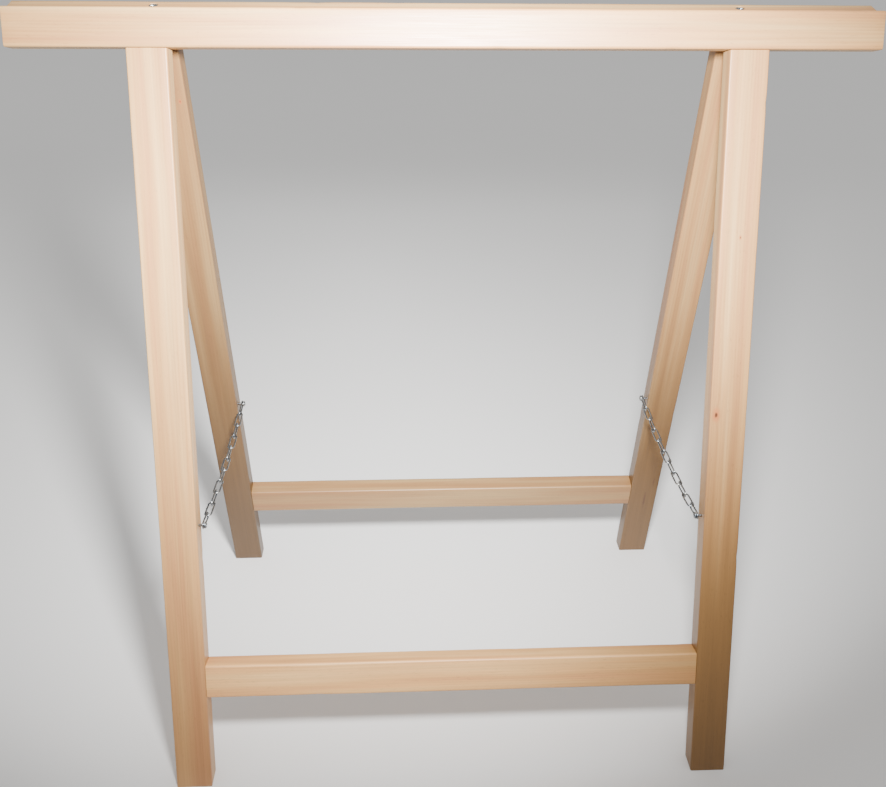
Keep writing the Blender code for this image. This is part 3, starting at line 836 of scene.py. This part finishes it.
def hinge_screw(node, side, shank):
    """The same for a hinge screw, which runs outward through the board's thickness."""
    low, high = upright_box(node, side)
    head_y = low[1] if side > 0 else high[1]
    top = np.array(((low[0] + high[0]) / 2, head_y, (low[2] + high[2]) / 2))
    return top, ((high[0] - low[0]) / 2, shank, high[1] - low[1])


def rail_cutters(name, side, timber, fixings):
    """Cutters for the screws, dowels and hinge screws in one top rail."""
    cutters = []
    for hand in HANDS:
        top, size = upright_screw(f"{name}_{hand}_leg_screw", side, fixings.leg_shank)
        cutters.append(screw_hole(side, top, (0, 0, -1), size, timber.clearance))
        cutters.append(dowel_mesh("hole", f"{name}_{hand}_dowel", side, timber.clearance))
        for number in (1, 2):
            # a straight hole, because the leaf takes the head
            top, (_, shank, length) = hinge_screw(
                f"{hand}_hinge_{name}_screw_{number}", side, fixings.hinge_shank)
            cutters.append(screw_hole(side, top, (0, side, 0), (shank, shank, length), timber.clearance))
    return cutters


def dowel_mesh(name, node, side, grow=0.0):
    """A dowel, or its hole when grow is above zero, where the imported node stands."""
    low, high = upright_box(node, side)
    radius = (high[0] - low[0]) / 2 + grow
    half = (high[2] - low[2]) / 2 + grow
    steps, flute = (HOLE_STEPS, 0.0) if grow else (DOWEL_STEPS, FLUTE_DEPTH)
    rings = dowel_rings(radius, half, DOWEL_CHAMFER, steps, flute)
    return skin(name, to_model(stood_along(rings, (low + high) / 2, (0, 0, 1)), side))


def chain_screw_mesh(name, node, hand, side, fixings, grow=0.0):
    """A chain screw, or its hole, in the inner side of a leg."""
    low, high = upright_box(node, side)
    sign = HANDS[hand]
    face = upright_box(f"{node.split('_')[0]}_{hand}_leg", side)
    wall = face[0][0] if sign > 0 else face[1][0]
    bare = abs((low[0] if sign > 0 else high[0]) - wall) - fixings.chain_head_rise
    shank, depth = fixings.chain_shank, fixings.chain_screw_depth
    if grow:
        rings = pan_head_hole_rings(shank, depth, grow)
    else:
        head = (high[1] - low[1]) / 2
        rings = pan_head_rings(head, fixings.chain_head_rise, shank, bare, depth, fixings.around)
    top = np.array((wall, (low[1] + high[1]) / 2, (low[2] + high[2]) / 2))
    return skin(name, to_model(stood_along(rings, top, (sign, 0, 0)), side))


class SAWHORSE_OT_top_rails(bpy.types.Operator):
    """Build the two top rails, bored for the leg screws, dowels and hinge screws"""

    bl_idname = "sawhorse.top_rails"
    bl_label = "Top rails"

    def execute(self, context):
        timber, fixings = context.scene.sawhorse_timber, context.scene.sawhorse_fixings
        looks = context.scene.sawhorse_looks
        for seed, (name, side) in enumerate(FRAMES.items(), start=1):
            node = f"{name}_top_rail"
            low, high = upright_box(node, side)
            mesh = board_mesh(node, side, (low + high) / 2, (high - low) / 2, timber.rail_arris, timber, seed)
            mesh = carve(mesh, rail_cutters(name, side, timber, fixings))
            finish_board(node, mesh, side, looks, seed)
        return {"FINISHED"}


class SAWHORSE_OT_legs(bpy.types.Operator):
    """Build the four legs, with their mortises and holes, cut level at the feet"""

    bl_idname = "sawhorse.legs"
    bl_label = "Legs"

    def execute(self, context):
        timber, fixings = context.scene.sawhorse_timber, context.scene.sawhorse_fixings
        looks = context.scene.sawhorse_looks
        for seed, (name, hand) in enumerate(product(FRAMES, HANDS), start=11):
            self.leg(name, FRAMES[name], hand, timber, fixings, looks, seed)
        return {"FINISHED"}

    def leg(self, name, side, hand, timber, fixings, looks, seed):
        """One leg: its length is measured down its middle, from the rail to the floor."""
        node = f"{name}_{hand}_leg"
        low, high = upright_box(node, side)
        low[2] += (high[1] - low[1]) / 2 * math.tan(LEAN)
        wide, thick, long = (high - low) / 2
        mesh = board_mesh(node, side, (low + high) / 2, (long, thick, wide), timber.leg_arris, timber, seed,
                          upright_grain=True)
        top, screw = upright_screw(f"{name}_{hand}_leg_screw", side, fixings.leg_shank)
        cutters = [
            screw_hole(side, top, (0, 0, -1), screw, timber.clearance),
            dowel_mesh("hole", f"{name}_{hand}_dowel", side, timber.clearance),
            chain_screw_mesh("hole", f"{name}_{hand}_chain_screw", hand, side, fixings, timber.clearance),
            mortise_mesh(name, side, hand, timber.clearance),
        ]
        finish_board(node, carve(mesh, cutters), side, looks, seed, upright_grain=True)


def tenon_box(name, side, hand):
    """Lowest and highest corner of a cross rail's tenon, in upright coordinates."""
    leg_low, leg_high = upright_box(f"{name}_{hand}_leg", side)
    wall = leg_low[0] if HANDS[hand] > 0 else leg_high[0]
    points = to_upright(node_points(f"{name}_cross_rail"), side)
    inside = points[points[:, 0] * HANDS[hand] > abs(wall) + MM]
    low, high = inside.min(0), inside.max(0)
    reach = sorted((wall, high[0] if HANDS[hand] > 0 else low[0]))
    return np.array((reach[0], low[1], low[2])), np.array((reach[1], high[1], high[2]))


def mortise_mesh(name, side, hand, clearance):
    """A cutter for the mortise: a box a clearance larger than the tenon, open at the leg's face."""
    low, high = tenon_box(name, side, hand)
    low, high = low - clearance, high + clearance
    half = (high - low) / 2
    along = np.array((-half[0], half[0]))
    section = rounded_section(np.full(2, half[1]), np.full(2, half[2]), np.full(2, 0.1 * MM), 1, 1)
    return skin("mortise", to_model(sections_at(along, section) + (low + high) / 2, side))


class SAWHORSE_OT_cross_rails(bpy.types.Operator):
    """Build the two cross rails with their tenons"""

    bl_idname = "sawhorse.cross_rails"
    bl_label = "Cross rails"

    def execute(self, context):
        timber, looks = context.scene.sawhorse_timber, context.scene.sawhorse_looks
        for seed, (name, side) in enumerate(FRAMES.items(), start=21):
            node = f"{name}_cross_rail"
            low, high = upright_box(node, side)
            tenon_low, tenon_high = tenon_box(name, side, "right")
            reach = tenon_high[0] - tenon_low[0]
            tenon = (reach, *((tenon_high - tenon_low)[1:] / 2))
            half = (high - low) / 2 - (reach, 0.0, 0.0)
            mesh = board_mesh(
                node, side, (low + high) / 2, half, timber.cross_arris, timber, seed, tenon=tenon)
            finish_board(node, mesh, side, looks, seed)
        return {"FINISHED"}


class SAWHORSE_OT_dowels(bpy.types.Operator):
    """Build the four fluted dowels between the top rails and the legs"""

    bl_idname = "sawhorse.dowels"
    bl_label = "Dowels"

    def execute(self, context):
        material = turned_beech(context.scene.sawhorse_looks)
        for name, hand in product(FRAMES, HANDS):
            node = f"{name}_{hand}_dowel"
            mesh = dowel_mesh(node, node, FRAMES[name])
            finish_piece(f"{node}_fluted", mesh, f"{name}_frame", material, node)
        return {"FINISHED"}


class SAWHORSE_OT_screws(bpy.types.Operator):
    """Build the leg screws, the hinge screws and the chain screws"""

    bl_idname = "sawhorse.screws"
    bl_label = "Screws"

    def execute(self, context):
        fixings, looks = context.scene.sawhorse_fixings, context.scene.sawhorse_looks
        plate = zinc_plate("zinc_plated_screw", looks, 0.36)
        for name, side in FRAMES.items():
            body = f"{name}_frame"
            for hand in HANDS:
                node = f"{name}_{hand}_leg_screw"
                top, size = upright_screw(node, side, fixings.leg_shank)
                self.screw(node, body, side, top, (0, 0, -1), size, fixings, plate)
                for number in (1, 2):
                    node = f"{hand}_hinge_{name}_screw_{number}"
                    top, size = hinge_screw(node, side, fixings.hinge_shank)
                    self.screw(node, body, side, top, (0, side, 0), size, fixings, plate)
                node = f"{name}_{hand}_chain_screw"
                mesh = chain_screw_mesh(node, node, hand, side, fixings)
                finish_piece(f"{node}_pan", mesh, body, plate, node)
        return {"FINISHED"}

    def screw(self, node, body, side, top, inward, size, fixings, plate):
        """One countersunk screw with its cross recess and thread."""
        rings = countersunk_rings(size, fixings.around)
        mesh = skin(node, to_model(stood_along(rings, top, inward), side))
        finish_piece(f"{node}_threaded", mesh, body, plate, node)


class SAWHORSE_OT_hinges(bpy.types.Operator):
    """Finish the hinge leaves and pins"""

    bl_idname = "sawhorse.hinges"
    bl_label = "Hinges"

    def execute(self, context):
        looks = context.scene.sawhorse_looks
        plate = zinc_plate("zinc_plated_hinge", looks, 0.44, marks=(0.05, 1.0, 1.0))
        for name, node in frame["nodes"].items():
            if name.endswith(("_leaf", "_pin")):
                node.data.materials.clear()
                node.data.materials.append(plate)
        return {"FINISHED"}


def link_rings(half_long, bend, wire, fixings):
    """Rings of a welded link: a circle of wire carried round two straights and two half circles.

    The wire's radius is r + bulge * exp(-(d / (1.1 r))^2), with d the distance from the weld in
    the middle of one straight side.
    """
    straight = half_long - bend
    arc = np.linspace(-math.pi / 2, math.pi / 2, fixings.link_bend + 1)
    run = np.linspace(straight, -straight, 15)[1:-1]
    right = np.stack((straight + bend * np.cos(arc), bend * np.sin(arc)), axis=-1)
    top = np.stack((run, np.full(len(run), bend)), axis=-1)
    path = np.concatenate((right, top, -right, -top))
    out = np.concatenate((
        np.stack((np.cos(arc), np.sin(arc)), axis=-1), np.tile((0.0, 1.0), (len(run), 1)),
        -np.stack((np.cos(arc), np.sin(arc)), axis=-1), np.tile((0.0, -1.0), (len(run), 1))))
    weld = np.exp(-(((path - (0.0, bend)) / (1.1 * wire)) ** 2).sum(-1))
    radius = wire + fixings.weld_bulge * weld
    angle = np.linspace(0.0, 2 * math.pi, fixings.link_around, endpoint=False)
    across = radius[:, None] * np.cos(angle)
    flat = path[:, None, :] + out[:, None, :] * across[:, :, None]
    return np.dstack((flat, radius[:, None] * np.sin(angle)))


class SAWHORSE_OT_chains(bpy.types.Operator):
    """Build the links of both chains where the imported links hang"""

    bl_idname = "sawhorse.chains"
    bl_label = "Chains"

    def execute(self, context):
        fixings, looks = context.scene.sawhorse_fixings, context.scene.sawhorse_looks
        plate = zinc_plate("zinc_plated_chain", looks, 0.32)
        bodies = frame["record"]["behaviour"]["bodies"]
        homes = {node: body for body, nodes in bodies.items() for node in nodes}
        for node in sorted(name for name in frame["nodes"] if "_chain_link_" in name):
            points = node_points(node)
            middle = (points.min(0) + points.max(0)) / 2
            # the link's own axes are the directions in which its points spread most and least
            spread = points - points.mean(0)
            axes = np.linalg.eigh(spread.T @ spread)[1].T[::-1]
            if np.linalg.det(axes) < 0:
                axes[2] *= -1
            half = np.abs((points - middle) @ axes.T).max(0)
            wire = half[2]
            rings = link_rings(half[0] - wire, half[1] - wire, wire, fixings)
            mesh = skin(node, rings @ axes + middle, along=True)
            finish_piece(f"{node}_welded", mesh, homes[node], plate, node, sharp_angle=80.0)
        return {"FINISHED"}


class SAWHORSE_OT_stage(bpy.types.Operator):
    """Lay the floor, hang the lights and set up the camera"""

    bl_idname = "sawhorse.stage"
    bl_label = "Stage"

    def execute(self, context):
        settings = context.scene.sawhorse_stage
        self.lay_floor(settings)
        self.hang_lights(settings)
        self.set_camera(context, settings)
        return {"FINISHED"}

    def lay_floor(self, settings):
        """A matt painted floor, very slightly clouded."""
        half = settings.floor_size / 2
        mesh = bpy.data.meshes.new("floor")
        corners = [(-half, -half, 0.0), (half, -half, 0.0), (half, half, 0.0), (-half, half, 0.0)]
        mesh.from_pydata(corners, [], [(0, 1, 2, 3)])
        material, tree, shader = new_material("matt_floor_paint")
        place = add_node(tree, "TexCoord")
        cloud = add_node(tree, "TexNoise", {
            "Vector": place.outputs["Object"], "Scale": 1 / settings.floor_cloud})
        tone = add_node(tree, "MapRange", {0: cloud, 3: 0.985, 4: 1.0})
        paint = add_node(tree, "VectorMath", {0: hex_colour(settings.floor_colour)[:3], 1: tone},
                         operation="MULTIPLY")
        tree.links.new(paint.outputs[0], shader.inputs["Base Color"])
        shader.inputs["Roughness"].default_value = 0.8
        mesh.materials.append(material)
        put_in_scene("floor", mesh)

    def hang_lights(self, settings):
        """An even room, a wide soft light from straight above, and one soft lamp by the camera."""
        world = bpy.data.worlds.new("room")
        bpy.context.scene.world = world
        world.use_nodes = True
        world.node_tree.nodes["Background"].inputs["Color"].default_value = hex_colour("#FFFFFF")
        world.node_tree.nodes["Background"].inputs["Strength"].default_value = settings.world_level
        overhead = bpy.data.lights.new("overhead_light", "SUN")
        overhead.energy = settings.top_level
        overhead.angle = settings.top_softness
        lamp = bpy.data.lights.new("key_lamp", "AREA")
        lamp.shape = "DISK"
        lamp.size = settings.key_size
        lamp.energy = settings.key_power
        lamp.spread = settings.key_spread
        key = put_in_scene("key_lamp", lamp)
        key.location = Vector(HINGE) + Vector(settings.camera_place) + Vector(settings.key_place)
        key.rotation_euler = (Vector(settings.key_aim) - key.location).to_track_quat("-Z", "Y").to_euler()
        put_in_scene("overhead_light", overhead)

    def set_camera(self, context, settings):
        """Aim the camera by yaw, pitch and roll."""
        yaw, pitch, roll = settings.camera_yaw, settings.camera_pitch, settings.camera_roll
        ahead = Vector((math.sin(yaw) * math.cos(pitch), math.cos(yaw) * math.cos(pitch), math.sin(pitch)))
        level = Vector((math.cos(yaw), -math.sin(yaw), 0.0))
        above = level.cross(ahead)
        right = math.cos(roll) * level + math.sin(roll) * above
        up = math.cos(roll) * above - math.sin(roll) * level
        data = bpy.data.cameras.new("camera")
        data.sensor_width = 36.0
        data.lens = settings.lens
        data.shift_x, data.shift_y = settings.shift
        data.clip_start = 0.02
        camera = put_in_scene("camera", data)
        turn = Matrix((right, up, -ahead)).transposed().to_4x4()
        place = Vector(HINGE) + Vector(settings.camera_place)
        camera.matrix_world = Matrix.Translation(place) @ turn
        context.scene.camera = camera


class SAWHORSE_PT_panel(bpy.types.Panel):
    """The sawhorse's settings and steps"""

    bl_label = "Folding sawhorse"
    bl_space_type = "VIEW_3D"
    bl_region_type = "UI"
    bl_category = "Sawhorse"

    def draw(self, context):
        for group in GROUPS:
            box = self.layout.box()
            settings = getattr(context.scene, group)
            for name in settings.bl_rna.properties.keys():
                if name not in ("rna_type", "name"):
                    box.prop(settings, name)
        for step in STEPS:
            self.layout.operator(step.bl_idname)


GROUPS = {
    "sawhorse_timber": SawhorseTimberSizes,
    "sawhorse_fixings": SawhorseFixingSizes,
    "sawhorse_looks": SawhorseLooks,
    "sawhorse_stage": SawhorseStageSettings,
}
STEPS = (
    SAWHORSE_OT_top_rails, SAWHORSE_OT_legs, SAWHORSE_OT_cross_rails, SAWHORSE_OT_dowels,
    SAWHORSE_OT_screws, SAWHORSE_OT_hinges, SAWHORSE_OT_chains, SAWHORSE_OT_stage,
)


def register():
    """Register the settings, the operators and the panel."""
    for thing in (*GROUPS.values(), *STEPS, SAWHORSE_PT_panel):
        bpy.utils.register_class(thing)
    for name, group in GROUPS.items():
        setattr(bpy.types.Scene, name, PointerProperty(type=group))


def unregister():
    """Take them away again."""
    for name in GROUPS:
        delattr(bpy.types.Scene, name)
    for thing in reversed((*GROUPS.values(), *STEPS, SAWHORSE_PT_panel)):
        bpy.utils.unregister_class(thing)


def main():
    """Run every step in order."""
    register()
    for step in STEPS:
        family, name = step.bl_idname.split(".")
        getattr(getattr(bpy.ops, family), name)()


if __name__ == "__main__":
    main()
